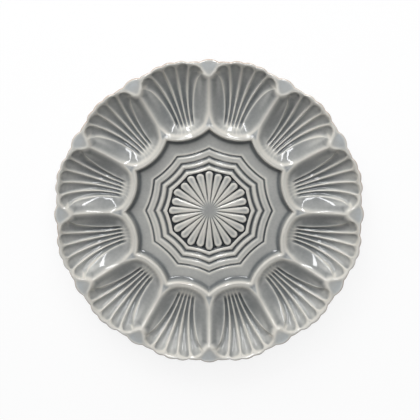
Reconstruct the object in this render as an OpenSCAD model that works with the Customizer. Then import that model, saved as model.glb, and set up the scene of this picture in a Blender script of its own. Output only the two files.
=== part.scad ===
// Deviled egg platter: a round dish of glazed earthenware with twelve fluted, shell-shaped egg wells
// round a sunk star-shaped floor that carries star lines and a rosette.
// Millimeters, +Z up, the foot ring stands on z = 0, the platter's axis is the Z axis.

/* [Rim] */
// diameter over the scallops
platter_d = 280; // [270:1:290]
// height of the rim above the table
rim_z = 28; // [26:0.5:31]
// thickness of the wall at the rim
rim_t = 5; // [4:0.25:6]
// rounding of the rim's upper and lower edge
rim_round = 1.6; // [0.8:0.1:2]
// radius of one scallop in plan
scallop_r = 7; // [6.7:0.1:7.6]
// angle between scallops
scallop_turn = 4.9; // [4.7:0.05:5]
// radius of a rim boss in plan
boss_r = 8; // [7:0.1:9]
// how far a rim boss stays inside the line of the scallops
boss_back = 1; // [0.5:0.1:2]

/* [Wells] */
// height of the lip between the floor and the wells
lip_z = 17.5; // [16.5:0.25:18.5]
// rounding of the lip toward the floor
lip_round = 3; // [2:0.25:4]
// height of the lowest line of a well
well_z = 10; // [9.5:0.25:10.5]
// wall thickness under a well's lowest line
well_t = 5.5; // [4.5:0.25:6]
// distance of the well's inner end from the axis
well_in_r = 75; // [74:0.25:76]
// distance from the axis at which the flutes have their middle spacing, close to the well's lowest line
well_low_r = 101; // [95:0.5:107]
// place of the round basin's center between the inner end and the lowest line, as a share
basin_share = 0.82; // [0.78:0.01:0.86]
// how far the basin's bottom stays above the flutes' lowest line
basin_lift = 0.7; // [0.4:0.1:1]
// radius of the smooth side panels across their length
panel_r = 24; // [23:0.25:25]

/* [Flutes] */
// radius of a flute across its length
flute_r = 8.6; // [8.2:0.1:9]
// spacing of the flutes at their inner ends
flute_in_gap = 2.9; // [2.7:0.05:3.1]
// spacing of the flutes in the middle of the well
flute_low_gap = 4.5; // [4.3:0.05:4.7]
// angle between flutes at the rim
flute_turn = 5.1; // [4.9:0.05:5.2]
// how far the middle flute's end stays inside the scallops
flute_back = 3; // [2.5:0.1:3.5]
// how much further in the next flute ends
flute_step = 1.3; // [1:0.1:1.5]
// how much the next flute bends aside at the rim
flute_lean = 20; // [17:0.5:22]
// how much flatter than a plain arc the flutes meet the lip
flute_in_ease = 2; // [0:0.5:4]
// how much steeper than a plain arc the flutes end at the rim
flute_out_ease = 2; // [0:0.5:4]
// radius of the thin ribs between the flutes
rib_r = 0.9; // [0.7:0.05:1.1]

/* [Ridges] */
// radius of the rounded ridge between two wells
ridge_r = 1.5; // [1.2:0.1:1.8]
// radius of the channel under a ridge
channel_r = 7; // [6:0.25:7.5]

/* [Floor] */
// thickness of the floor
floor_t = 5; // [4.5:0.25:6]
// distance of the star's points from the axis
star_tip_r = 75.4; // [75:0.1:76]
// how far the star's hollow sides draw in behind its points
star_dip = 7.7; // [7:0.1:8.4]
// distance of the outer star line's points from the axis
line_a_r = 57; // [55:0.5:60]
// distance of the middle star line's points from the axis
line_b_r = 49.2; // [48:0.2:51]
// distance of the inner star line's points from the axis
line_c_r = 42.8; // [41.5:0.2:44.5]
// how far the sides of a star line draw in, as a share of its points
line_waist = 0.94; // [0.92:0.005:0.955]
// width of a star line
line_w = 1; // [0.6:0.1:1.4]
// depth of a star line
line_d = 0.9; // [0.5:0.1:1.2]

/* [Rosette] */
// distance of the pocket's points from the axis
pocket_r = 37.6; // [37:0.1:38.5]
// how far the pocket's sides draw in, as a share of its points
pocket_waist = 0.955; // [0.95:0.001:0.96]
// depth of the pocket
pocket_d = 1.6; // [1.2:0.1:2]
// distance of the long petals' ends from the axis
petal_long_r = 36; // [35:0.1:36.2]
// distance of the short petals' ends from the axis
petal_short_r = 34; // [33:0.1:34.5]
// radius of a petal's round end
petal_r = 3.6; // [3.3:0.05:3.75]
// how far the petals stand above the floor
petal_rise = 0.4; // [0:0.1:0.8]
// radius of the plain hub
hub_r = 6.6; // [6:0.1:7.5]

/* [Foot] */
// height of the foot ring
foot_h = 5; // [4.5:0.25:6]
// radius of the foot ring's middle line
foot_r = 66; // [64:0.5:68]
// width of the foot ring where it meets the floor
foot_w = 9; // [8:0.25:10]
// width of the foot ring on the table
foot_base_w = 4.5; // [3.5:0.25:5]

/* [View] */
// piece to draw

/* [Hidden] */
$fn = 72;
wells = 12;
well_turn = 360 / wells;
half_turn = well_turn / 2;
petal_count = 2 * wells;
flute_side = 2;
rim_r = platter_d / 2;
floor_z = foot_h + floor_t;
// plan circle of one hollow side of the star
star_side_r = star_tip_r - star_dip;
star_sag = star_tip_r * cos(half_turn) - star_side_r;
star_half = star_tip_r * sin(half_turn);
star_arc_r = (star_half * star_half + star_sag * star_sag) / (2 * star_sag);
star_arc_x = star_side_r + star_arc_r;
// arc of the underside: lowest under the wells, ending at the rim
under_low_r = well_in_r + 0.4 * (rim_r - well_in_r);
under_rise = rim_z - rim_t - (well_z - well_t);
under_run = rim_r - under_low_r;
under_r = (under_run * under_run + under_rise * under_rise) / (2 * under_rise);
// the basin reaches the lip just inside the well's inner end
basin_edge_r = well_in_r - 1;
basin_x = well_in_r + basin_share * (flute_low_r(0) - well_in_r);
basin_run = basin_x - basin_edge_r;
basin_deep = lip_z - well_z - basin_lift;
basin_r = (basin_run * basin_run + basin_deep * basin_deep) / (2 * basin_deep);
basin_z = well_z + basin_lift + basin_r;
// inner end of a rim boss
boss_tip_r = rim_r - boss_back - 2 * boss_r + 1;
// middle line of a side panel's hollow, between the well's inner end and the boss
panel_span = boss_tip_r - well_in_r;
panel_out_r = well_in_r + 0.7755 * panel_span;
panel_in = [well_in_r + 0.2245 * panel_span, 2.6 * flute_in_gap, well_z + panel_r + 3.6];
panel_mid = [well_in_r + 0.5102 * panel_span, 2.45 * flute_low_gap, well_z + panel_r + 1.9];
panel_out = [panel_out_r, panel_out_r * sin(1.5565 * flute_turn), rim_z + 15];
// the ridge climbs from the lip to the boss
ridge_in_r = well_in_r + 7;
ridge_in = [ridge_in_r, 0, lip_z - 0.5];
ridge_mid = [ridge_in_r + 0.512 * (boss_tip_r - ridge_in_r), 0, lip_z + 0.2];
ridge_out = [boss_tip_r, 0, rim_z - 1.7];
ridge_root = 4;
rib_root = 2;
// the channel under a ridge fades out at both ends
channel_in_r = well_in_r + 3;
channel_out_r = rim_r - 6;
channel_in = [channel_in_r, 0, lip_z - 20.5];
channel_mid = [channel_in_r + 0.464 * (channel_out_r - channel_in_r), 0, lip_z - 12.5];
channel_out = [channel_out_r, 0, rim_z - 18.5];

// center of the circle through three points
function arc_center(a, b, c) =
  let (ab = b - a, ac = c - a, n = cross(ab, ac))
  a + (cross(n, ab) * (ac * ac) + cross(ac, n) * (ab * ab)) / (2 * n * n);

function unit(v) = v / norm(v);

// a flute's inner and outer end and its lowest height; half numbers give the ribs
function flute_in(i) = [well_in_r + 0.25 * i * i, flute_in_gap * i, lip_z - 0.3];
function flute_end_r(i) = rim_r - flute_back - flute_step * i * i;
function flute_out(i) =
  [flute_end_r(i) * cos(flute_turn * i), flute_end_r(i) * sin(flute_turn * i), rim_z - 0.5];
function flute_floor(i) = well_z + 0.2 * i * i;

// the plain arc that leaves the inner end, just touches that lowest height and reaches the outer end:
// heights of its ends, distance of its lowest place from the axis, radius
function flute_in_rise(i) = flute_in(i)[2] - flute_floor(i);
function flute_out_rise(i) = flute_out(i)[2] - flute_floor(i);
function flute_low_r(i) =
  let (span = flute_end_r(i) - flute_in(i)[0], rise = flute_in_rise(i), step = flute_out_rise(i) - rise)
  flute_in(i)[0]
    + (sqrt(pow(rise * span, 2) + step * rise * (span * span + flute_out_rise(i) * step)) - rise * span) / step;
function flute_bend(i) =
  let (run = flute_low_r(i) - flute_in(i)[0], rise = flute_in_rise(i))
  (run * run + rise * rise) / (2 * rise);
function flute_low(i) =
  let (bend = flute_bend(i))
  [
    well_low_r,
    flute_low_gap * i,
    flute_floor(i) + bend - sqrt(bend * bend - pow(well_low_r - flute_low_r(i), 2))
  ];

// middle line of the round hollow of flute i at its inner end, its middle and its outer end
function flute_in_slope(i) = asin((flute_low_r(i) - flute_in(i)[0]) / flute_bend(i)) - flute_in_ease;
function flute_out_slope(i) = asin((flute_end_r(i) - flute_low_r(i)) / flute_bend(i)) + flute_out_ease;
function hollow_in(i) =
  flute_in(i) + flute_r * [sin(flute_in_slope(i)), 0, cos(flute_in_slope(i))];
function hollow_low(i) =
  let (slope = asin((well_low_r - flute_low_r(i)) / flute_bend(i)))
  flute_low(i) + flute_r * [-sin(slope), 0, cos(slope)];
function hollow_out(i) = flute_out(i) + flute_r * [
  -sin(flute_out_slope(i)) * cos(flute_lean * i),
  -sin(flute_out_slope(i)) * sin(flute_lean * i),
  cos(flute_out_slope(i))
];

// how far rib i stands over the flutes' bottom line at its outer end
function rib_lift(i) = i > 2 ? 0.6 : 2.2;

// round bar along the arc from a over b to c, from the first to the last share of that arc;
// a root on its outer side ties a raised bar to what it stands on
module arc_bar(a, b, c, r, first = 0, last = 1, root = 0) {
  o = arc_center(a, b, c);
  e1 = unit(a - o);
  e3 = unit(cross(b - a, c - a));
  e2 = cross(e3, e1);
  full = (atan2((c - o) * e2, (c - o) * e1) + 360) % 360;
  multmatrix([
    [e1[0], e2[0], e3[0], o[0]],
    [e1[1], e2[1], e3[1], o[1]],
    [e1[2], e2[2], e3[2], o[2]],
    [0, 0, 0, 1]
  ])
    rotate([0, 0, full * first])
      rotate_extrude(angle = full * (last - first))
        bar_section(norm(a - o), r, root);
}

// section of such a bar; where it is thicker than its bend, the part beyond the bend's center is left off
module bar_section(bend, r, root) {
  if (bend > r)
    translate([bend, 0])
      circle(r);
  else
    intersection() {
      translate([bend, 0])
        circle(r);
      translate([0, -r])
        square([bend + r, 2 * r]);
    }
  if (root > 0)
    translate([bend, -0.7 * r])
      square([root, 1.4 * r]);
}

// star with hollow sides
module star(tip_r, side_r) {
  sag = tip_r * cos(half_turn) - side_r;
  half = tip_r * sin(half_turn);
  arc_r = (half * half + sag * sag) / (2 * sag);
  difference() {
    circle(tip_r + 1);
    for (k = [0 : wells - 1])
      rotate((k + 0.5) * well_turn)
        translate([side_r + arc_r, 0])
          circle(arc_r);
  }
}

module star_line(tip_r) {
  translate([0, 0, floor_z - line_d])
    linear_extrude(line_d + 1)
      difference() {
        star(tip_r, tip_r * line_waist);
        star(tip_r - line_w, (tip_r - line_w) * line_waist);
      }
}

// petal lying along +X, level along its top
module petal(end_r) {
  reach = end_r - petal_r;
  root = hub_r - 1;
  root_r = petal_r * root / reach * 0.88;
  lean = asin((petal_r - root_r) / (reach - root));
  translate([reach, 0, floor_z + petal_rise - petal_r])
    rotate([0, lean - 90, 0])
      rotate_extrude()
        intersection() {
          union() {
            circle(petal_r);
            polygon([[0, 0], [petal_r - 0.02, 0], [root_r, reach - root], [0, reach - root]]);
          }
          translate([0, -petal_r - 1])
            square([petal_r + 1, reach + 2 * petal_r]);
        }
}

module star_floor() {
  color("LightSteelBlue") {
    difference() {
      translate([0, 0, foot_h])
        linear_extrude(floor_t)
          star(star_tip_r, star_side_r);
      translate([0, 0, floor_z - pocket_d])
        linear_extrude(pocket_d + 1)
          star(pocket_r, pocket_r * pocket_waist);
      star_line(line_a_r);
      star_line(line_b_r);
      star_line(line_c_r);
    }
    intersection() {
      for (k = [0 : petal_count - 1])
        rotate(k * 360 / petal_count)
          petal(k % 2 == 0 ? petal_long_r : petal_short_r);
      translate([0, 0, floor_z - pocket_d - 0.5])
        cylinder(h = pocket_d + 2, r = petal_long_r + 1);
    }
    translate([0, 0, floor_z - pocket_d - 1])
      cylinder(h = pocket_d + 1 + petal_rise / 2, r = hub_r);
  }
}

// outline of one well's share of the rim
module rim_plan() {
  intersection() {
    polygon([[0, 0], [2 * rim_r, -2 * rim_r * tan(half_turn)], [2 * rim_r, 2 * rim_r * tan(half_turn)]]);
    union() {
      circle(rim_r - scallop_r + 2);
      for (i = [-flute_side : flute_side])
        rotate(i * scallop_turn)
          translate([rim_r - scallop_r, 0])
            circle(scallop_r);
      for (s = [-1, 1])
        rotate(s * half_turn)
          translate([rim_r - boss_back - boss_r, 0])
            circle(boss_r);
    }
  }
}

// section of the whole ring of wells before they are hollowed
module ring_section() {
  intersection() {
    polygon([
      [star_side_r - 5, 0],
      [star_side_r - 5, lip_z],
      [well_in_r + 5, lip_z],
      [boss_tip_r, rim_z - 1],
      [boss_tip_r + 5, rim_z],
      [rim_r - rim_round, rim_z],
      [rim_r, rim_z - rim_round],
      [rim_r, rim_z - rim_t + rim_round],
      [rim_r - rim_round, 0]
    ]);
    union() {
      translate([under_low_r, well_z - well_t + under_r])
        circle(under_r);
      translate([0, foot_h])
        square([under_low_r - 2, rim_z]);
    }
  }
}

// everything outside the star, with the lip rounded toward the floor
module lip_body() {
  translate([star_arc_x, 0, 0])
    rotate_extrude()
      polygon([
        [0, 0],
        [star_arc_r, 0],
        [star_arc_r, lip_z - lip_round],
        for (a = [22.5 : 22.5 : 67.5])
          [star_arc_r - lip_round + lip_round * cos(a), lip_z - lip_round + lip_round * sin(a)],
        [star_arc_r - lip_round, lip_z],
        [star_arc_r - lip_round, 2 * rim_z],
        [0, 2 * rim_z]
      ]);
  translate([star_arc_x - star_half, -rim_r, 0])
    cube([rim_r, 2 * rim_r, 2 * rim_z]);
}

module well_blank() {
  intersection() {
    linear_extrude(2 * rim_z)
      rim_plan();
    rotate_extrude()
      ring_section();
    lip_body();
  }
}

// the hollows of one well: round basin, flutes and smooth side panels
module well_hollows() {
  translate([basin_x, 0, basin_z])
    sphere(basin_r);
  for (i = [-flute_side : flute_side])
    arc_bar(hollow_in(i), hollow_low(i), hollow_out(i), flute_r, -0.3, 1.3);
  for (s = [0, 1])
    mirror([0, s, 0])
      arc_bar(panel_in, panel_mid, panel_out, panel_r, -0.2, 1.3);
}

// channels on the underside, below the ridges
module under_channels() {
  for (s = [-1, 1])
    rotate([0, 0, s * half_turn])
      arc_bar(channel_in, channel_mid, channel_out, channel_r);
}

module ribs_and_ridges() {
  for (i = [0.5 : 1 : flute_side + 0.5])
    for (s = [0, 1])
      mirror([0, s, 0])
        arc_bar(
          flute_in(i) + [0, 0, 0.1],
          flute_low(i) + [0, 0, 0.3],
          flute_out(i) + [0, 0, rib_lift(i)],
          rib_r, 0.1, 0.99, rib_root
        );
  for (s = [-1, 1])
    rotate([0, 0, s * half_turn])
      arc_bar(ridge_in, ridge_mid, ridge_out, ridge_r, 0, 1, ridge_root);
}

// one well, its middle line along +X
module egg_well() {
  difference() {
    well_blank();
    well_hollows();
    under_channels();
  }
  intersection() {
    well_blank();
    ribs_and_ridges();
  }
}

module well_at(k) {
  color("SlateGray")
    rotate((k - 0.5) * well_turn)
      egg_well();
}

module foot_ring() {
  color("Tan")
    rotate_extrude()
      polygon([
        [foot_r - foot_base_w / 2 + 0.6, 0],
        [foot_r + foot_base_w / 2 - 0.6, 0],
        [foot_r + foot_base_w / 2, 0.6],
        [foot_r + foot_w / 2, foot_h],
        [foot_r - foot_w / 2, foot_h],
        [foot_r - foot_base_w / 2, 0.6]
      ]);
}

star_floor();
well_at(1);  // egg_well_01
well_at(2);  // egg_well_02
well_at(3);  // egg_well_03
well_at(4);  // egg_well_04
well_at(5);  // egg_well_05
well_at(6);  // egg_well_06
well_at(7);  // egg_well_07
well_at(8);  // egg_well_08
well_at(9);  // egg_well_09
well_at(10);  // egg_well_10
well_at(11);  // egg_well_11
well_at(12);  // egg_well_12
foot_ring();
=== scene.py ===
"""Deviled egg platter: twelve fluted shell wells round a sunk star floor.

The dish is clay pressed in a mold under a gray glaze, and it stands on a bare foot ring.
"""

import math

import bpy
import numpy as np
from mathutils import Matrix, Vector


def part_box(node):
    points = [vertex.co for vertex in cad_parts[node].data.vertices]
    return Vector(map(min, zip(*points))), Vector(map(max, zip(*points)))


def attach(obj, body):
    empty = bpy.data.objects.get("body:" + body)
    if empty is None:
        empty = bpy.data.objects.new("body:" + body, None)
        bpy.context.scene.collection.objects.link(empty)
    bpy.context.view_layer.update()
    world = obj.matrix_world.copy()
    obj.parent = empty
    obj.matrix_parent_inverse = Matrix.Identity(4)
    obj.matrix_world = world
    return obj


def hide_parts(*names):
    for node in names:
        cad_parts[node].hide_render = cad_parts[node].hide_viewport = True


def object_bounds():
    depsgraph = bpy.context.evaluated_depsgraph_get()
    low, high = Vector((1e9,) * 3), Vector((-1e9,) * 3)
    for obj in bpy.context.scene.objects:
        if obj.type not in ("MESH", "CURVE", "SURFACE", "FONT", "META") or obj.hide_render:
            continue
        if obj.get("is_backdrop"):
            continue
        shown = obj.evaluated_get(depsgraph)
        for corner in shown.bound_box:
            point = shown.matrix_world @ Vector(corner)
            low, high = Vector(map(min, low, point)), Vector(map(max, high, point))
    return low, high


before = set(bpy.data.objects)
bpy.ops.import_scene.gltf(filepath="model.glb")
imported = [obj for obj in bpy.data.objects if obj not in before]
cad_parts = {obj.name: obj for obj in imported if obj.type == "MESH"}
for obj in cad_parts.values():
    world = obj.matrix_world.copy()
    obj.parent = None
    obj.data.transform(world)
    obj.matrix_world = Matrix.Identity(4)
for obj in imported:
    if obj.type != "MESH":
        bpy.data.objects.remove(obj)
cad_low, cad_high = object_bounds()

# Shapes are worked out in millimeters and written to the meshes in meters. The two ends of a blend are
# distances from the axis (r) or from the edge that it follows.
MM = 0.001
WELLS = 12
HALF = math.pi / WELLS

# Heights above the table
TOP_Z = cad_high.z / MM
RIM_Z = TOP_Z - 0.5
LIP_Z = 17.5
FLOOR_Z = 10.0
WELL_LOW_Z = 10.2
UNDER_Z = 5.0
UNDER_LOW_Z = 4.6
UNDER_RIM_Z = 23.0

# Rim: scallops that draw in a little to both sides of a well, and a rolled edge
RIM_R = 141.7
SCALLOP_TURN = math.radians(4.9)
SCALLOP_DIP = 1.2
SCALLOP_FALL = 0.8
FALLING_SCALLOPS = 1.9
NOTCH_SOFT = 0.015
EDGE_R = 1.5
EDGE_STEPS = 10
EDGE_TURNS = [math.radians(138) * k / EDGE_STEPS for k in range(1, EDGE_STEPS + 1)]

# Bosses: shield-shaped pads on the rim between two wells, each with a rounded point toward the axis
BOSS_OUT_R = 140.4
BOSS_ROUND = 15.0
BOSS_JOIN = 0.6
BOSS_TIP_R = 124.3
BOSS_HALF = 9.0
BOSS_SPREAD = 2.63
BOSS_DISH = 0.2
BANK_FALL = 1.2
BANK_CURVE = 0.2
BANK_SOFT = 2.0
BANK_FLUTES = 0.8

# Star wall: points and hollow sides of its foot and of its upper edge, distances from the axis
FOOT_TIP_R = 72.2
FOOT_SIDE_R = 65.3
STAR_TIP_R = 76.5
STAR_SIDE_R = 68.9
POINT_SOFT = math.radians(0.45)
LIP_ROUND = 2.6
LIP_STEPS = 9
LIP_W = 3.1

# Foot of the wall up to the lip's rounding: shares of the way outward and upward
WALL_CURVE = (
    (0, 0), (0.2, 0.012), (0.38, 0.05), (0.54, 0.11),
    (0.67, 0.2), (0.78, 0.31), (0.87, 0.43), (0.94, 0.55),
)

# Wells: a round basin behind the lip, and two smooth panels up to the ridges
BASIN_R = 29.5
BASIN_DROP = 1.7
WELL_LOW_R = 100.0
WELL_EDGE_SOFT = 4.0
PANEL_LEAST_W = 4.5
PANEL_MOST = 1.6
PANEL_CURVE = 1.3
PANEL_SAG = 0.4
SAG_CURVE = 1.6
RIDGE_START_R = 84.0
RIDGE_MID_R = 103.0
RIDGE_MID_UP = 1.6
RIDGE_STEP = 0.3
RIDGE_HALF = 0.9
RIDGE_ROUND = 1.6
RIDGE_LIP_SOFT = 0.6
RIDGE_RIM_SOFT = 0.8

# Small sunk triangles behind the points of the star
CORNER_R = 79.6
CORNER_LONG = 10.0
CORNER_HALF = 3.6
CORNER_DEEP = 0.45

# Ribs are numbered 0.5, 1.5 and 2.5 from a well's middle line, and the ridge is 3.5.
RIBS = (0.5, 1.5, 2.5)
LAST_RIB = RIBS[-1]
RIDGE_LANE = 3.5
RIB_START_R = 80.0
RIB_GAP = 3.3
RIB_SPREAD = 0.025
RIB_CURVE = 0.0023
RIB_FLARE_R = 120.0
RIB_FLARE = 0.017
RIB_JOIN = math.radians(0.5)
RIB_LIFT = 0.2
RIB_SOFT = 0.45

# Flutes between the ribs: where and how round they end, how deep they are cut
FLUTE_END_R = RIM_R - 2.9
FLUTE_END_FALL = 0.5
FLUTE_END_CURVE = 0.075
FLUTE_END_SOFT = 1.0
FLUTE_END_ROUND = 2.3
FLUTE_END_CLIMB = 0.9
FLUTE_DEEP = 0.35
FLUTE_DEEPEN = 0.45
FLUTE_RUN_IN = 5.0
NARROW_FLUTE_HALF = 2.0
BROAD_FLUTE_HALF = 5.0

# Star lines in the floor: distance of their points, share that their sides draw in
LINES = (43.6, 50.2, 58.1)
LINE_WAIST = 0.94
LINE_DEEPS = (2.0, 1.5, 1.2)
LINE_HALVES = (1.55, 1.25, 0.95)
POCKET_R = 38.5
POCKET_WAIST = 0.955
POCKET_DEEP = 1.6

# Beads of glaze between the star lines: distance, half width and height
BEADS = ((41.1, 1.7, 0.2), (46.8, 2.2, 0.2), (54.0, 3.2, 0.12), (55.9, 1.4, 0.06), (60.1, 1.6, 0.16))

# Rosette petals, which run together in the middle
PETAL_LONG_R = 37.3
PETAL_SHORT_R = 35.7
PETAL_HALF = 3.75
PETAL_RISE = 0.35
PETAL_DISH = 0.4
PETAL_DISH_LONG = 6.0
PETAL_DISH_SHARE = 0.7
HUB_R = 4.0
HUB_END_R = 16.0

# Underside: a bowl under each well and a channel under each ridge
BOWL_START_R = 62.5
BOWL_END_R = RIM_R - 0.5
CHANNEL_DEEP = 3.6
CHANNEL_HALF = 6.5
UNDER_SOFT = 0.3

# Foot ring
FOOT_TOP_W = 9.0
FOOT_BASE_W = 4.5
FOOT_WORN = 0.9
FOOT_WORN_STEPS = 6
FOOT_SEGMENTS = 240

# Unevenness from pressing and firing
UNEVEN_UP = 0.12
UNEVEN_OUT = 0.10
FIRED_SHRINK = 0.0012
ROSETTE_OFF_X = 0.12
ROSETTE_OFF_Y = 0.6

# Glaze: 0 is bare clay and 1 a full pool
GLAZE_LEVEL = 0.46
GLAZE_LEAST = 0.13
GLAZE_UNDER = 0.5

# How far round a place its hollow is judged, and how much fine grooves and broad hollows count
GROOVE_REACH = 1.1
GROOVE_PULL = 1.3
HOLLOW_REACH = 2.6
HOLLOW_PULL = 0.36

# Pools fill fast and then level off, deep ones go on filling, and crests drain
POOL_FILL = 0.25
POOL_RATE = 3.5
DEEP_POOL = 0.5
DEEP_POOL_RATE = 0.45
CREST_DRAIN = 0.42
CREST_RATE = 2.2

# What places gain or lose beside that
POCKET_GAIN = 0.5
LINED_GAIN = 0.03
WALL_GAIN = 0.05
MIDDLE_GAIN = 0.06
WELL_GAIN = 0.05
CORNER_GAIN = 0.14
FLUTE_END_LOSS = 0.65
SLOPE_LOSS = 0.15
BOSS_LOSS = 0.07

# Milky clouds in the glaze, and the turns round the rolled edge between which it is worn off
BOSS_CLOUD = 0.5
RIM_CLOUD = 0.35
CORNER_CLOUD = 0.35
WORN_TURNS = (0.15, 0.6, 1.7, 2.3)

# Rows and columns of the meshes: where their spacing changes, and the steps from there to the next mark
FLOOR_MARKS = ((0.4, 8), (10, 20), (30, 11), (POCKET_R - 1.4, 72), (60, 10), (FOOT_TIP_R, 0))
FLOOR_COLUMNS = 29
WELL_MARKS = ((0, 18), (0.2, 42), (0.8, 34), (1.0, 0))
UNDER_MARKS = ((0.02, 12), (0.3, 16), (1.0, 0))
LANE_MARKS = ((0, 7), (0.5, 12), (1.5, 12), (LAST_RIB, 18), (RIDGE_LANE, 0))
LANE_CROWD = 0.45
APRON = (9, 7, 5, 4, 3, 2.2, 1.5, 0.8)


def soft_step(start, end, x):
    """0 before start, 1 past end and a smooth rise between them."""
    t = np.clip((x - start) / (end - start), 0, 1)
    return t * t * (3 - 2 * t)


def band(x, start, full, full_end, end):
    """1 from full to full_end, with a smooth rise from start and a smooth fall to end."""
    return soft_step(start, full, x) * (1 - soft_step(full_end, end, x))


def soft_min(a, b, blend):
    """The lower of two, rounded where they lie less than blend apart."""
    t = np.clip(0.5 + 0.5 * (b - a) / blend, 0, 1)
    return b * (1 - t) + a * t - blend * t * (1 - t)


def soft_max(a, b, blend):
    """The higher of two, rounded in the same way."""
    return -soft_min(-a, -b, blend)


def arc_height(r, first, low, last):
    """Height at r on the lower side of the circle through three places (distance, height)."""
    ax, az = low[0] - first[0], low[1] - first[1]
    bx, bz = last[0] - first[0], last[1] - first[1]
    turn = 2 * (ax * bz - az * bx)
    mx = (bz * (ax * ax + az * az) - az * (bx * bx + bz * bz)) / turn
    mz = (ax * (bx * bx + bz * bz) - bx * (ax * ax + az * az)) / turn
    past = r - first[0] - mx
    return first[1] + mz - np.sqrt(np.maximum(mx * mx + mz * mz - past * past, 0))


def star_arc(tip, side):
    """Middle and radius of the circle along one hollow side of a star."""
    sag = tip * math.cos(HALF) - side
    half = tip * math.sin(HALF)
    arc = (half * half + sag * sag) / (2 * sag)
    return side + arc, arc


def star_reach(turn, tip, side):
    """Distance from the axis to a star's outline, at a turn from the middle of a hollow side."""
    turn = HALF - np.sqrt((HALF - turn) ** 2 + POINT_SOFT**2)
    middle, arc = star_arc(tip, side)
    return middle * np.cos(turn) - np.sqrt(arc * arc - (middle * np.sin(turn)) ** 2)


def rim_reach(turn):
    """Distance from the axis to the scalloped outline, at a turn from the well's middle line."""
    scallops = turn / SCALLOP_TURN
    crest = RIM_R - SCALLOP_FALL * np.minimum(scallops, FALLING_SCALLOPS) ** 2
    wave = np.sqrt(np.cos(math.pi * scallops) ** 2 + NOTCH_SOFT)
    boss_side = BOSS_OUT_R * (HALF - turn)
    boss = BOSS_OUT_R - boss_side**2 / (2 * BOSS_ROUND)
    return soft_max(crest - SCALLOP_DIP * (1 - wave), boss, BOSS_JOIN)


def boss_half(r):
    """Half width of the boss: it widens from its point, then has straight sides."""
    return np.minimum(BOSS_SPREAD * np.sqrt(np.maximum(r - BOSS_TIP_R, 0)), BOSS_HALF)


def boss_outside(r, turn):
    """Distance outside the boss's outline, negative inside it."""
    side = r * (HALF - turn)
    round_r = BOSS_SPREAD**2
    point = (side**2 / round_r - (r - BOSS_TIP_R)) / np.sqrt(1 + (2 * side / round_r) ** 2)
    return np.maximum(point, side - BOSS_HALF)


def rib_turn(rib, r):
    """Turn of a rib from the well's middle line: ribs spread like a shell's, and the last one flares."""
    past = np.maximum(r - RIB_START_R, 0)
    gap = RIB_GAP + RIB_SPREAD * past + RIB_CURVE * past**2
    if rib < LAST_RIB:
        return np.arcsin(rib * gap / r)
    gap = gap + RIB_FLARE * np.maximum(r - RIB_FLARE_R, 0) ** 2
    turn = np.arcsin(np.clip(rib * gap / r, 0, math.sin(2 * HALF)))
    return soft_min(turn, HALF - boss_half(r) / r, RIB_JOIN)


def lane_turn(lane, r):
    """Turn of a grid line that keeps its share of the way between two ribs."""
    lanes = (0, *RIBS, RIDGE_LANE)
    turns = (0, *(rib_turn(rib, r) for rib in RIBS), HALF)
    turn = 0
    for a, b, start, end in zip(turns, turns[1:], lanes, lanes[1:]):
        turn = np.where(lane >= start, a + (b - a) * (lane - start) / (end - start), turn)
    return turn


def flute_end(lane):
    """Distance from the axis to the end of a rib or flute: the outer ones end sooner."""
    return FLUTE_END_R - FLUTE_END_FALL * lane**2 - FLUTE_END_CURVE * lane**4


def rib_crest(rib, r):
    """Height of the rib crests: an arc from the lip over the well's lowest line to the rim."""
    start = (STAR_SIDE_R + LIP_W, LIP_Z)
    low = (WELL_LOW_R, WELL_LOW_Z + RIB_LIFT * rib**2)
    end = flute_end(rib)
    crest = arc_height(r, start, low, (end, RIM_Z))
    return np.where(r > end, RIM_Z + FLUTE_END_CLIMB * (r - end), crest)


def flute_cut(lane, r):
    """Depth of the flutes under the rib crests: hollow across, with round ends at the rim."""
    number = np.floor(np.minimum(lane, LAST_RIB - 1e-6) + 0.5).astype(int)
    first, second, last = (rib_turn(rib, r) for rib in RIBS)
    before = np.choose(number, (-first, first, second))
    after = np.choose(number, (first, second, last))
    half = r * (after - before) / 2
    past = r - flute_end(number) + half
    past = (past + np.sqrt(past**2 + FLUTE_END_SOFT**2)) / 2
    off = np.abs(2 * (lane - number) * half)
    reach = (past**FLUTE_END_ROUND + off**FLUTE_END_ROUND) ** (1 / FLUTE_END_ROUND)
    inside = np.sqrt(np.maximum(half - reach, 0) ** 2 + RIB_SOFT**2) - RIB_SOFT
    full = np.sqrt(half**2 + RIB_SOFT**2) - RIB_SOFT
    side = 1 - np.clip(inside / full, 0, 1)

    # narrow flutes are round across, broad ones flatter with steep sides
    broad = soft_step(NARROW_FLUTE_HALF, BROAD_FLUTE_HALF, half)
    narrow_side = side**2.8
    broad_side = 0.45 * side**2 + 0.55 * side**7
    cut = 1 - (1 - broad) * narrow_side - broad * broad_side
    deep = FLUTE_DEEP + FLUTE_DEEPEN * r * (second - first) / 2
    cut = deep * cut * soft_step(RIB_START_R, RIB_START_R + FLUTE_RUN_IN, r)
    return np.where(lane < LAST_RIB, cut, 0)


def corner_share(r, turn):
    """1 in the small triangle behind a point of the star, between two wells, and 0 outside it."""
    side = r * np.sin(HALF - turn)
    inside = CORNER_HALF * (1 - (r - CORNER_R) / CORNER_LONG) - side
    return soft_step(-0.8, 1.8, inside) * soft_step(-1.5, 2.5, r - CORNER_R)


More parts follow.
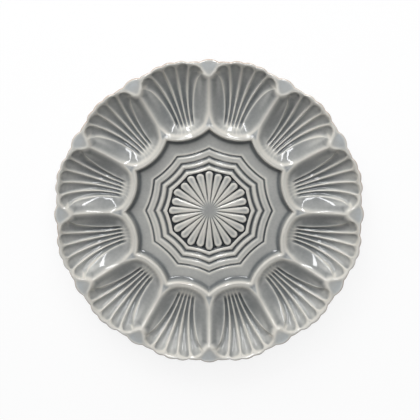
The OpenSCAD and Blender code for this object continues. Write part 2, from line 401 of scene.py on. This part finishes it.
def ridge_top(r, turn):
    """Height of the lip, of the ridges that climb from it, and of the rim with its dished bosses."""
    climb = (RIDGE_START_R, LIP_Z), (RIDGE_MID_R, LIP_Z + RIDGE_MID_UP), (BOSS_TIP_R, RIM_Z - RIDGE_STEP)
    # the arc stops inside the boss, where any height over the rim is cut to the rim's own
    top = np.where(r < BOSS_TIP_R + 4, arc_height(r, *climb), RIM_Z + 5)
    top = soft_max(np.where(r < RIDGE_START_R, LIP_Z, top), LIP_Z, RIDGE_LIP_SOFT)
    top = soft_min(top, RIM_Z, RIDGE_RIM_SOFT)
    shield = soft_step(0.6, 4.5, -boss_outside(r, turn)) * (1 - soft_step(RIM_R - 5, RIM_R - 1.5, r))
    return top - CORNER_DEEP * corner_share(r, turn) - BOSS_DISH * shield


def well_height(lane, turn, r):
    """Upper face of a well, from the lip to the rim."""
    top = ridge_top(r, turn)

    # how far inside the well's edge a place lies: the edge is round behind the lip, then follows the ridge
    x, y = r * np.cos(turn), r * np.sin(turn)
    middle = STAR_SIDE_R + LIP_W + BASIN_R
    from_lip = BASIN_R + np.maximum(x - middle, 0) - np.hypot(np.minimum(x - middle, 0), y)
    from_ridge = x * math.sin(HALF) - y * math.cos(HALF) - RIDGE_HALF
    inside = soft_min(from_lip, from_ridge, WELL_EDGE_SOFT)

    # smooth side panels rise from the last rib to that edge, and sag a little on the way
    crest = rib_crest(np.minimum(lane, LAST_RIB), r)
    panel = r * np.sin(HALF - rib_turn(LAST_RIB, r))
    width = np.maximum(panel - RIDGE_HALF, PANEL_LEAST_W)
    rise = np.clip(1 - inside / width, 0, PANEL_MOST) ** PANEL_CURVE
    across = np.clip(r * np.sin(HALF - turn) / np.maximum(panel, 1), 0, 1) ** SAG_CURVE
    sag = 4 * PANEL_SAG * across * (1 - across) * band(r, 82, 92, 116, 126)

    # the basin drops steeply behind the lip
    drop = BASIN_DROP * soft_step(0.3, 5.5, inside) * (1 - soft_step(78, 96, r))
    drop = drop * (1 - soft_step(0, 6, from_lip - from_ridge))
    base = crest + np.maximum(top - crest, 0) * rise - drop - sag

    # a bank leans against the boss, and the flutes are shallower on it
    outside = boss_outside(r, turn)
    bank = RIM_Z - BANK_FALL * outside - BANK_CURVE * np.maximum(outside, 0) ** 2
    base = soft_max(base, bank, BANK_SOFT)
    cut = flute_cut(lane, r) * (BANK_FLUTES + (1 - BANK_FLUTES) * soft_step(0, 4, outside))
    return soft_min(base - cut, top, RIDGE_ROUND)


def petal_share(r, turn, middle, end_r):
    """How far a place lies from a petal's middle line: 0 on the line, 1 on its outline."""
    along = r * np.cos(turn - middle)
    side = np.abs(r * np.sin(turn - middle))
    root = end_r - PETAL_HALF
    inner = side / np.maximum(PETAL_HALF * along / root, 0.05)
    bulb = np.hypot(along - root, side) / PETAL_HALF
    return np.where(along < root, inner, bulb)


def floor_height(reach, turn, r):
    """Upper face of the floor: rings follow the star, the rosette its petals."""
    height = np.zeros_like(r)
    for line, deep, half in zip(LINES, LINE_DEEPS, LINE_HALVES):
        height -= deep * np.exp(-(((reach - line) / half) ** 2))
    for at, half, rise in BEADS:
        height += rise * np.maximum(1 - ((reach - at) / half) ** 2, 0)
    height -= POCKET_DEEP * (1 - soft_step(POCKET_R - 0.6, POCKET_R + 0.5, reach))
    for middle, end_r in ((0.0, PETAL_SHORT_R), (HALF, PETAL_LONG_R)):
        share = petal_share(r, turn, middle, end_r)
        from_bulb = (r - end_r + PETAL_HALF) / PETAL_DISH_LONG
        dish = PETAL_DISH * np.exp(-(from_bulb**2) - (share / PETAL_DISH_SHARE) ** 2)
        crown = np.sqrt(np.maximum(1 - share**4, 0))
        top = -POCKET_DEEP + (POCKET_DEEP + PETAL_RISE) * crown - dish
        height = np.where(reach < POCKET_R, np.maximum(height, top), height)
    hub = 1 - soft_step(HUB_R, HUB_END_R, r)
    return FLOOR_Z + height + (PETAL_RISE - height) * hub


def places(marks, crowd=0.0):
    """Places from mark to mark, each mark with its steps to the next; crowd draws them toward the marks."""
    found = []
    for (start, steps), (end, _) in zip(marks, marks[1:]):
        t = np.linspace(0, 1, steps, endpoint=False)
        t = (1 - crowd) * t + crowd * (0.5 - 0.5 * np.cos(math.pi * t))
        found += list(start + (end - start) * t)
    return found + [marks[-1][0]]


def floor_rows(turn):
    """Rows of the floor from the axis to the foot of the star's wall: distance, turn and height."""
    rings = (POCKET_R, LINES[0], LINES[-1], FOOT_TIP_R)
    waists = (POCKET_WAIST, LINE_WAIST, LINE_WAIST, FOOT_SIDE_R / FOOT_TIP_R)
    rows = []
    for stop in places(FLOOR_MARKS):
        star = star_reach(turn, 1.0, np.interp(stop, rings, waists))
        r = stop * (1 + (star - 1) * soft_step(10, POCKET_R, stop))
        rows.append((r, turn, floor_height(np.full_like(r, stop), turn, r)))
    return rows


def lip_rows(turn):
    """Rows from the floor up the star's leaning wall and over its rounded lip."""
    foot = star_reach(turn, FOOT_TIP_R, FOOT_SIDE_R)
    edge = star_reach(turn, STAR_TIP_R, STAR_SIDE_R)
    rows = []
    for out, up in WALL_CURVE:
        height = FLOOR_Z + up * (LIP_Z - FLOOR_Z)
        rows.append((foot + out * (edge - foot), turn, np.full_like(turn, height)))
    for k in range(LIP_STEPS):
        a = math.pi / 2 * k / LIP_STEPS
        height = LIP_Z - LIP_ROUND + LIP_ROUND * math.sin(a)
        rows.append((edge + LIP_ROUND * (1 - math.cos(a)), turn, np.full_like(turn, height)))
    return rows


def well_rows(turn, lane):
    """Rows from the lip to the edge of the rim, along the ribs."""
    start = star_reach(turn, STAR_TIP_R, STAR_SIDE_R) + LIP_ROUND
    end = rim_reach(lane_turn(lane, np.full_like(turn, RIM_R - EDGE_R))) - EDGE_R
    rows = []
    for share in places(WELL_MARKS):
        r = start + share * (end - start)
        along = soft_step(0, 7, r - start)
        at = turn + (lane_turn(lane, r) - turn) * along
        rows.append((r, at, well_height(lane, at, r)))
    return rows


def edge_rows(last):
    """Rows round the rolled edge of the rim."""
    r, turn, z = last
    return [(r + EDGE_R * math.sin(a), turn, z - EDGE_R * (1 - math.cos(a))) for a in EDGE_TURNS]


def under_rows(last, turn):
    """Rows of the underside, from the rim to the star's outline."""
    r_out, turn_out, _ = last
    inner = star_reach(turn, STAR_TIP_R, STAR_SIDE_R)
    rim = r_out + EDGE_R * (1 - math.sin(EDGE_TURNS[-1]))
    bowl = (BOWL_START_R, UNDER_RIM_Z), (WELL_LOW_R, UNDER_LOW_Z), (BOWL_END_R, UNDER_RIM_Z)
    rows = []
    for share in places(UNDER_MARKS):
        r = r_out + share * (inner - r_out)
        at = turn_out + (turn - turn_out) * soft_step(0.05, 0.6, share)
        pulled = r + (RIM_R - rim) * soft_step(116, 136, r)
        arc = arc_height(pulled, *bowl)
        level = soft_min(UNDER_Z, np.maximum(arc, UNDER_LOW_Z), UNDER_SOFT)
        from_ridge = r * np.sin(HALF - at)
        channel = CHANNEL_DEEP * np.exp(-((from_ridge / CHANNEL_HALF) ** 2)) * band(r, 84, 99, 118, 134)
        rows.append((r, at, np.where(r < WELL_LOW_R, level, arc) + channel))
    return rows


def stack(rows):
    """Rows of (distance, turn, height) as arrays."""
    return [np.array([np.broadcast_to(row[k], rows[0][1].shape) for row in rows]) for k in range(3)]


def spread(field, gap, amount):
    """One even spreading step down the rows, with nothing lost at the ends."""
    cell = np.zeros_like(field)
    cell[:-1] += gap / 2
    cell[1:] += gap / 2
    flow = amount / gap
    diagonal = cell.copy()
    diagonal[:-1] += flow
    diagonal[1:] += flow
    top = np.zeros_like(field)
    out = np.zeros_like(field)
    top[0] = -flow[0] / diagonal[0]
    out[0] = cell[0] * field[0] / diagonal[0]
    for i in range(1, len(field)):
        rest = diagonal[i] + flow[i - 1] * top[i - 1]
        if i < len(field) - 1:
            top[i] = -flow[i] / rest
        out[i] = (cell[i] * field[i] + flow[i - 1] * out[i - 1]) / rest
    for i in range(len(field) - 2, -1, -1):
        out[i] -= top[i] * out[i + 1]
    return out


def blurred(field, points, reach):
    """The field averaged over the surface within about reach millimeters."""
    least_gap = 0.02
    down = np.maximum(np.linalg.norm(np.diff(points, axis=0), axis=2), least_gap)
    over = np.maximum(np.linalg.norm(np.diff(points, axis=1), axis=2), least_gap)
    steps = 5
    amount = reach * reach / 2 / steps
    for _ in range(steps):
        field = spread(field, down, amount)
        field = spread(field.T, over.T, amount).T
    return field


def floor_gain(r, turn, sunk):
    """Glaze that the floor gains: in its pocket, on the lined field, along the wall and in the middle."""
    pocket = soft_step(0.5, 1.1, sunk) * soft_step(22, 34, r)
    pocket = pocket * (1 - soft_step(POCKET_R, POCKET_R + 1.5, r / star_reach(turn, 1.0, POCKET_WAIST)))
    line_reach = r / star_reach(turn, 1.0, LINE_WAIST)
    lined = 1 - soft_step(LINES[-1] + 0.5, LINES[-1] + 3.5, line_reach)
    wall = band(r - star_reach(turn, FOOT_TIP_R, FOOT_SIDE_R), -0.6, 0.5, 2.4, 3.6)
    middle = 1 - soft_step(8, 20, r)
    return POCKET_GAIN * pocket + LINED_GAIN * lined + WALL_GAIN * wall + MIDDLE_GAIN * middle


def well_loss(r, turn, steep):
    """Glaze that runs off in the wells: behind the lip, at the flutes' steep ends and on the bosses."""
    off_boss = boss_outside(r, turn)
    slope = band(r - star_reach(turn, STAR_TIP_R, STAR_SIDE_R), 3.5, 8.0, 11, 20)
    fluted = soft_step(98, 120, r) * soft_step(5, 9, r * np.sin(HALF - turn))
    fluted = fluted * (1 - 0.4 * soft_step(127, 137, r))
    past_last_rib = soft_step(-1.0, 0.5, r * (turn - rib_turn(LAST_RIB, r)))
    by_boss = (1 - soft_step(1.5, 4.5, off_boss)) * past_last_rib
    ends = FLUTE_END_LOSS * steep * fluted * (1 - by_boss)
    return SLOPE_LOSS * slope + ends + BOSS_LOSS * soft_step(0.0, 4.5, -off_boss)


def pooled(r, turn, z):
    """How thick the glaze lies: it drains off crests and steep ends, and pools in hollows."""
    points = np.stack([r * np.cos(turn), r * np.sin(turn), z], 2)
    near, wide = blurred(z, points, GROOVE_REACH), blurred(z, points, HOLLOW_REACH)
    hollow = GROOVE_PULL * (near - z) + HOLLOW_PULL * (wide - z)

    # pools are thin between the petals, full in the wells, and half as thick on the floor beside the wall
    pool = POOL_FILL * np.tanh(POOL_RATE * hollow) + DEEP_POOL_RATE * np.maximum(hollow - DEEP_POOL, 0)
    pool = pool * (0.32 + 0.48 * soft_step(24, 34, r) + 0.2 * soft_step(60, 66, r))
    pool = pool * (1 - 0.5 * band(r - star_reach(turn, FOOT_TIP_R, FOOT_SIDE_R), -7, -3, -0.5, 0.8))
    drained = CREST_DRAIN * np.tanh(CREST_RATE * hollow)
    thick = GLAZE_LEVEL + np.where(hollow > 0, pool, drained)

    facing = np.cross(np.gradient(points, axis=0), np.gradient(points, axis=1))
    level = facing[:, :, 2] / np.maximum(np.linalg.norm(facing, axis=2), 1e-9)
    steep = np.minimum(1 - level**2, 0.5)
    well_gain = WELL_GAIN * soft_step(78, 90, r) + CORNER_GAIN * corner_share(r, turn)
    thick = thick + floor_gain(r, turn, FLOOR_Z - near) + well_gain - well_loss(r, turn, steep)
    return np.maximum(thick, GLAZE_LEAST)


def well_clouds(r, turn):
    """Where the glaze clouds: on bosses, along the rim and on the triangles behind the star's points."""
    boss = soft_step(0.0, 4.5, -boss_outside(r, turn)) * soft_step(BOSS_TIP_R, RIM_R - 4, r)
    rim = 1 - soft_step(1.2, 2.6, rim_reach(turn) - r)
    return np.maximum(np.maximum(BOSS_CLOUD * boss, RIM_CLOUD * rim), CORNER_CLOUD * corner_share(r, turn))


def ring_round(values):
    """Values of a half sector, mirrored and repeated round the axis."""
    sector = np.concatenate([values[:, :0:-1], values[:, :-1]], 1)
    return np.tile(sector, WELLS)


def all_round(r, turn, z):
    """A half sector mirrored and turned round the axis: one closed ring of columns."""
    sector = np.concatenate([-turn[:, :0:-1], turn[:, :-1]], 1)
    turns = np.concatenate([sector + (2 * k + 1) * HALF for k in range(WELLS)], 1)
    return ring_round(r), turns, ring_round(z)


def hand_pressed(r, turn, z):
    """Points of the surface with the slight unevenness of clay pressed into a mold and fired.

    The rosette sits a little off the middle.
    """
    x, y = r * np.cos(turn), r * np.sin(turn)
    sway = np.sin(x / 31 + 1.1) * np.cos(y / 27 - 0.6) + 0.6 * np.sin(x / 13 - y / 17)
    lift = UNEVEN_UP * sway * soft_step(UNDER_Z, LIP_Z, z)
    slip = UNEVEN_OUT * np.sin(y / 23 + x / 37 + 0.4) * soft_step(40, 110, r)
    rosette = (1 - soft_step(32, 39, r)) * soft_step(UNDER_Z, FLOOR_Z - 2, z)
    x = x * (1 - FIRED_SHRINK) + slip + ROSETTE_OFF_X * rosette
    y = y * (1 - FIRED_SHRINK) - slip + ROSETTE_OFF_Y * rosette
    return np.stack([x, y, np.minimum(z + lift, TOP_Z)], 2)


def normals_round(points):
    """Vertex normals of a closed ring of columns."""
    down = np.diff(points, axis=0)
    over = np.roll(points, -1, 1) - points
    face = np.cross(down, (over[:-1] + over[1:]) / 2)
    total = np.zeros_like(points)
    for shifted in (face, np.roll(face, 1, 1)):
        total[:-1] += shifted
        total[1:] += shifted
    return total / np.maximum(np.linalg.norm(total, axis=2, keepdims=True), 1e-12)


def linear(color):
    """An sRGB hex color as linear RGBA."""
    parts = [int(color[i : i + 2], 16) / 255 for i in (1, 3, 5)]
    return [p / 12.92 if p <= 0.04045 else ((p + 0.055) / 1.055) ** 2.4 for p in parts] + [1.0]


def add(tree, kind, links=None, **settings):
    """Adds a node: settings are its own properties, links give its inputs a value or a node's output."""
    made = tree.nodes.new("ShaderNode" + kind)
    for name, value in settings.items():
        setattr(made, name, value)
    for name, source in (links or {}).items():
        if isinstance(source, bpy.types.NodeSocket):
            tree.links.new(source, made.inputs[name])
        else:
            made.inputs[name].default_value = source
    return made


def new_material(name):
    """A material without nodes, and its node tree."""
    material = bpy.data.materials.new(name)
    material.use_nodes = True
    material.node_tree.nodes.clear()
    return material, material.node_tree


def per_meter(size_mm):
    """Scale of a noise whose patches are about this size, for coordinates in meters."""
    return 1 / (size_mm * MM)


def gray_glaze():
    """Translucent gray glaze over pressed earthenware, fired to a gloss.

    It runs off ribs, lips and edges, where the cream body shows through, and pools in flutes and star
    lines, where it turns to dark slate. The rolled edge is worn to brown clay. On bosses, on the rim and on
    the small triangles behind the star's points it clouds to a milky blue.
    """
    material, tree = new_material("gray_glaze_on_earthenware")
    place = add(tree, "TexCoord").outputs["Object"]
    thick = add(tree, "Attribute", attribute_name="glaze_depth").outputs["Fac"]
    cloud = add(tree, "Attribute", attribute_name="glaze_cloud").outputs["Fac"]

    # uneven dipping: soft drifts as wide as a well, and a fine mottle, both taken about their mean
    drifts, mottles = 0.22, 0.10
    drift = add(tree, "TexNoise", {"Vector": place, "Scale": per_meter(34), "Detail": 2.0})
    mottle = add(tree, "TexNoise", {"Vector": place, "Scale": per_meter(2.6), "Detail": 3.0})
    drifted = {0: drift.outputs["Fac"], 1: drifts, 2: thick}
    drifted = add(tree, "Math", drifted, operation="MULTIPLY_ADD").outputs[0]
    mottled = {0: mottle.outputs["Fac"], 1: mottles, 2: drifted}
    mottled = add(tree, "Math", mottled, operation="MULTIPLY_ADD").outputs[0]
    mean = (drifts + mottles) / 2
    level = add(tree, "Math", {0: mottled, 1: mean}, operation="SUBTRACT", use_clamp=True)

    # from worn clay and the cream body through grays to the slate of a full pool
    ramp = add(tree, "ValToRGB", {"Fac": level.outputs[0]})
    stops = (
        (0.00, "#B9A899"),
        (0.05, "#CCC6BC"),
        (0.14, "#CAC7BF"),
        (0.27, "#BDBBB4"),
        (0.40, "#A7A7A3"),
        (0.55, "#8C8D8B"),
        (0.70, "#6B6E6E"),
        (0.85, "#43474A"),
        (1.00, "#1C2126"),
    )
    shades = ramp.color_ramp.elements
    for k, (at, color) in enumerate(stops):
        shade = shades[k] if k < 2 else shades.new(at)
        shade.position = at
        shade.color = linear(color)

    # the milky clouds are patchy
    patch = add(tree, "TexNoise", {"Vector": place, "Scale": per_meter(6), "Detail": 2.0})
    patchy = add(tree, "Math", {0: patch.outputs["Fac"], 1: 1.7}, operation="MULTIPLY")
    clouded = add(tree, "Math", {0: cloud, 1: patchy.outputs[0]}, operation="MULTIPLY", use_clamp=True)
    mix = {0: clouded.outputs[0], 6: ramp.outputs["Color"], 7: linear("#ADB3B7")}
    milky = add(tree, "Mix", mix, data_type="RGBA")

    # the glaze never lies quite flat: broad ripples that bend the reflections
    ripple = add(tree, "TexNoise", {"Vector": place, "Scale": per_meter(9), "Detail": 1.0})
    bump = add(tree, "Bump", {"Height": ripple.outputs["Fac"], "Strength": 0.35, "Distance": 0.25 * MM})
    shader = add(
        tree,
        "BsdfPrincipled",
        {
            "Base Color": milky.outputs[2],
            "Roughness": 0.38,
            "IOR": 1.5,
            "Specular IOR Level": 0.25,
            "Coat Weight": 1.0,
            "Coat Roughness": 0.035,
            "Coat IOR": 1.52,
            "Normal": bump.outputs["Normal"],
            "Coat Normal": bump.outputs["Normal"],
        },
    )
    add(tree, "OutputMaterial", {"Surface": shader.outputs["BSDF"]})
    return material


def bare_clay():
    """Biscuit clay, wiped clean of glaze and rubbed on the kiln shelf: dry, warm and slightly gritty."""
    material, tree = new_material("bare_biscuit_clay")
    place = add(tree, "TexCoord").outputs["Object"]
    blotch = add(tree, "TexNoise", {"Vector": place, "Scale": per_meter(11), "Detail": 4.0})
    grit = add(tree, "TexNoise", {"Vector": place, "Scale": per_meter(0.7), "Detail": 2.0})
    mixed = {0: grit.outputs["Fac"], 1: 0.35, 2: blotch.outputs["Fac"]}
    mixed = add(tree, "Math", mixed, operation="MULTIPLY_ADD")
    ramp = add(tree, "ValToRGB", {"Fac": mixed.outputs[0]})
    for shade, (at, color) in zip(ramp.color_ramp.elements, ((0.45, "#B79C7F"), (0.85, "#D6C3A8"))):
        shade.position = at
        shade.color = linear(color)
    bump = add(tree, "Bump", {"Height": grit.outputs["Fac"], "Strength": 0.5, "Distance": 0.12 * MM})
    shader = add(
        tree,
        "BsdfPrincipled",
        {
            "Base Color": ramp.outputs["Color"],
            "Roughness": 0.86,
            "IOR": 1.45,
            "Specular IOR Level": 0.3,
            "Normal": bump.outputs["Normal"],
        },
    )
    add(tree, "OutputMaterial", {"Surface": shader.outputs["BSDF"]})
    return material


def sheet_faces(rows, columns, closed):
    """Quads of a grid of points, row by row; a closed one joins its last column to its first."""
    across = columns if closed else columns - 1
    i, j = np.meshgrid(np.arange(rows - 1), np.arange(across), indexing="ij")
    nxt = (j + 1) % columns
    here, below = i * columns, (i + 1) * columns
    quads = np.stack([here + j, below + j, below + nxt, here + nxt], 2)
    return quads.reshape(-1, 4).tolist()


def make_piece(name, points, normals, faces, hidden, layers, material, slot, *nodes):
    """A mesh whose shown faces have the given point normals and whose hidden joint faces are flat."""
    mesh = bpy.data.meshes.new(name)
    mesh.from_pydata((points * MM).tolist(), [], faces + hidden)
    for layer, values in layers.items():
        made = mesh.attributes.new(layer, "FLOAT", "POINT")
        made.data.foreach_set("value", values.astype(np.float32))
    mesh.polygons.foreach_set("use_smooth", [True] * len(faces) + [False] * len(hidden))
    shown = normals[np.concatenate([np.array(face) for face in faces])]
    flat = [mesh.polygons[len(faces) + k].normal for k, face in enumerate(hidden) for _ in face]
    mesh.normals_split_custom_set(shown.tolist() + [list(normal) for normal in flat])
    mesh.materials.append(material)
    piece = bpy.data.objects.new(name, mesh)
    bpy.context.collection.objects.link(piece)
    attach(piece, "root")
    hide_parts(*nodes)


def make_wells(glaze):
    """Twelve wells: one half is drawn, mirrored and turned round the axis, then parted along the ridges."""
    lane = np.array(places(LANE_MARKS, LANE_CROWD))
    turn = np.linspace(0, HALF, len(lane))
    top = lip_rows(turn) + well_rows(turn, lane)
    edge = edge_rows(top[-1])
    under = under_rows(edge[-1], turn)
    edge_end = len(top) + len(edge)
    r, at, z = stack(top + edge + under)

    # the glaze is worked out with the floor beside the wall, which is then left off
    foot = star_reach(turn, FOOT_TIP_R, FOOT_SIDE_R)
    apron = [(foot - out, turn, np.full_like(turn, FLOOR_Z)) for out in APRON]
    depth = pooled(*stack(apron + top + edge))[len(apron) :]
    depth = np.concatenate([depth, np.full((len(under), len(lane)), GLAZE_UNDER)])
    cloud = well_clouds(r, at)
    cloud[edge_end:] = 0

    # the rolled edge is worn to the clay
    worn = band(np.array(EDGE_TURNS)[:, None], *WORN_TURNS)
    for layer in (depth, cloud):
        layer[len(top) : edge_end] *= 1 - worn

    points = hand_pressed(*all_round(r, at, z))
    normals = normals_round(points)
    depth, cloud = ring_round(depth), ring_round(cloud)

    # hidden faces: the inner side toward the floor, and both sides along the ridges
    rows, columns = len(r), 2 * (len(lane) - 1) + 1
    faces = sheet_faces(rows, columns, False)
    last = (rows - 1) * columns
    hidden = [[last + j, j, j + 1, last + j + 1] for j in range(columns - 1)]
    for j, step in ((0, 1), (columns - 1, -1)):
        hidden.append([i * columns + j for i in range(rows)][::step])
    for k in range(WELLS):
        pick = (np.arange(columns) + k * (columns - 1)) % points.shape[1]
        placed = points[:, pick].reshape(-1, 3)
        facing = normals[:, pick].reshape(-1, 3)
        layers = {"glaze_depth": depth[:, pick].ravel(), "glaze_cloud": cloud[:, pick].ravel()}
        node = "egg_well_%02d" % (k + 1)
        make_piece("glazed_" + node, placed, facing, faces, hidden, layers, glaze, "gray_glaze", node)


def make_floor(glaze):
    """Floor with star lines, pocket and rosette, over a level underside."""
    turn = np.linspace(0, HALF, FLOOR_COLUMNS)
    top = floor_rows(turn)
    depth = pooled(*stack(top + lip_rows(turn)[1:]))[: len(top)]
    points = hand_pressed(*all_round(*stack(top)))
    normals = normals_round(points)
    rows, columns = points.shape[:2]
    faces = sheet_faces(rows, columns, True)

    hub = points[0].mean(0)[None]
    wall = star_reach(turn, STAR_TIP_R, STAR_SIDE_R)[None]
    under = hand_pressed(*all_round(wall, turn[None], np.full_like(wall, UNDER_Z)))[0]
    middle = np.array([[0, 0, UNDER_Z]])
    placed = np.concatenate([points.reshape(-1, 3), hub, under, middle])
    up, down = np.array([[0.0, 0.0, 1.0]]), np.array([[0.0, 0.0, -1.0]])
    facing = np.concatenate([normals.reshape(-1, 3), up, np.repeat(down, columns + 1, 0)])

    crown = rows * columns
    first = crown + 1
    center = first + columns
    hidden = []
    for j in range(columns):
        nxt = (j + 1) % columns
        faces.append([crown, j, nxt])
        faces.append([center, first + nxt, first + j])
        hidden.append([crown - columns + j, first + j, first + nxt, crown - columns + nxt])
    below = np.full(columns + 1, GLAZE_UNDER)
    depth = np.concatenate([ring_round(depth).ravel(), [depth[0].mean()], below])
    layers = {"glaze_depth": depth, "glaze_cloud": np.zeros(len(depth))}
    node = "star_floor"
    make_piece("glazed_" + node, placed, facing, faces, hidden, layers, glaze, "gray_glaze", node)


def make_foot(clay):
    """Foot ring turned to a soft, slightly worn edge."""
    low, high = (corner.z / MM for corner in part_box("foot_ring"))
    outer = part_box("foot_ring")[1].x / MM
    middle = outer - FOOT_TOP_W / 2
    quarter = [math.pi / 2 * k / FOOT_WORN_STEPS for k in range(FOOT_WORN_STEPS + 1)]
    outline = [(middle - FOOT_TOP_W / 2, high)]
    for side, turns in ((-1, quarter), (1, quarter[::-1])):
        for a in turns:
            out = FOOT_BASE_W / 2 - FOOT_WORN + FOOT_WORN * math.cos(a)
            outline.append((middle + side * out, low + FOOT_WORN * (1 - math.sin(a))))
    outline.append((middle + FOOT_TOP_W / 2, high))
    around = np.linspace(0, 2 * math.pi, FOOT_SEGMENTS, endpoint=False)
    ring = np.array([[(r * math.cos(t), r * math.sin(t), z) for t in around] for r, z in outline[::-1]])
    placed, facing = ring.reshape(-1, 3), normals_round(ring).reshape(-1, 3)
    faces = sheet_faces(len(outline), FOOT_SEGMENTS, True)
    last = (len(outline) - 1) * FOOT_SEGMENTS
    hidden = []
    for j in range(FOOT_SEGMENTS):
        nxt = (j + 1) % FOOT_SEGMENTS
        hidden.append([last + j, j, nxt, last + nxt])
    make_piece("bare_foot_ring", placed, facing, faces, hidden, {}, clay, "bare_clay", "foot_ring")


def make_stage():
    """White table that still takes the platter's shadow, in a soft even studio."""
    material, tree = new_material("white_table")
    sheen = add(tree, "BsdfDiffuse", {"Color": linear("#F4F4F4")})
    glow = add(tree, "Emission", {"Color": [1, 1, 1, 1], "Strength": 1.0})
    rays = add(tree, "LightPath")
    glow_share = 0.85
    seen = add(tree, "Math", {0: rays.outputs["Is Camera Ray"], 1: glow_share}, operation="MULTIPLY")
    both = add(tree, "MixShader", {0: seen.outputs[0], 1: sheen.outputs[0], 2: glow.outputs[0]})
    add(tree, "OutputMaterial", {"Surface": both.outputs[0]})
    half = 3.0
    corners = [(-half, -half, 0), (half, -half, 0), (half, half, 0), (-half, half, 0)]
    mesh = bpy.data.meshes.new("table")
    mesh.from_pydata(corners, [], [(0, 1, 2, 3)])
    mesh.materials.append(material)
    table = bpy.data.objects.new("table", mesh)
    bpy.context.collection.objects.link(table)
    table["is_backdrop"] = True

    world = bpy.data.worlds.new("studio")
    bpy.context.scene.world = world
    world.use_nodes = True
    world.node_tree.nodes.clear()
    tree = world.node_tree
    rays = add(tree, "LightPath")
    soft = add(tree, "Background", {"Color": linear("#F1F2F4"), "Strength": 0.17})
    white = add(tree, "Background", {"Color": [1, 1, 1, 1], "Strength": 1.0})
    seen = rays.outputs["Is Camera Ray"]
    both = add(tree, "MixShader", {0: seen, 1: soft.outputs[0], 2: white.outputs[0]})
    add(tree, "OutputWorld", {"Surface": both.outputs[0]})


def area_light(name, at, size, watts, color):
    """Rectangular light that faces the platter."""
    lamp = bpy.data.lights.new(name, "AREA")
    lamp.shape = "RECTANGLE"
    lamp.size, lamp.size_y = size
    lamp.energy = watts
    lamp.color = linear(color)[:3]
    light = bpy.data.objects.new(name, lamp)
    bpy.context.collection.objects.link(light)
    light.location = at
    light.rotation_mode = "QUATERNION"
    low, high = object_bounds()
    aim = low.lerp(high, 0.5) - light.location
    light.rotation_quaternion = aim.to_track_quat("-Z", "Y")
    return light


def make_lights():
    """Daylight from beyond the platter, and a broad soft light overhead that fills the shadows.

    Two tall panes show in the glaze. A low broad sky lights the dish without showing in it.
    """
    pane_far, pane_rise, pane_turn = 2.0, math.radians(54), math.radians(22)
    pane_size, pane_watts = (0.16, 2.0), 14.6
    flat = pane_far * math.cos(pane_rise)
    for name, turn in (("left_pane", pane_turn), ("right_pane", -pane_turn)):
        at = (-flat * math.sin(turn), flat * math.cos(turn), pane_far * math.sin(pane_rise))
        area_light(name, at, pane_size, pane_watts, "#FCFDFF")
    sky = area_light("sky", at=(-0.75, 2.28, 1.35), size=(3.0, 1.4), watts=55, color="#FFFFFF")
    sky.visible_glossy = False
    area_light("overhead", at=(0.2, -0.4, 2.2), size=(2.4, 2.4), watts=3, color="#FFFDFA")


def make_camera():
    """Nearly straight above, leaning from the upper edge of the picture, like the photograph."""
    # distance, lean and aim are fitted to the rim and the star lines, and the picture's width is at the rim
    far = 1.035
    lean = math.radians(11.8)
    aim_x, aim_y, aim_z = 0.0008, 0.0047, RIM_Z * MM
    picture_w = 0.3793
    data = bpy.data.cameras.new("camera")
    camera = bpy.data.objects.new("camera", data)
    bpy.context.collection.objects.link(camera)
    data.sensor_width = 36.0
    data.lens = data.sensor_width * far / picture_w
    camera.location = (aim_x, aim_y + far * math.sin(lean), aim_z + far * math.cos(lean))
    camera.rotation_euler = (-lean, 0, 0)
    bpy.context.scene.camera = camera


bpy.context.scene.view_settings.view_transform = "Standard"
make_camera()
make_stage()
make_lights()
glaze = gray_glaze()
make_floor(glaze)
make_wells(glaze)
make_foot(bare_clay())
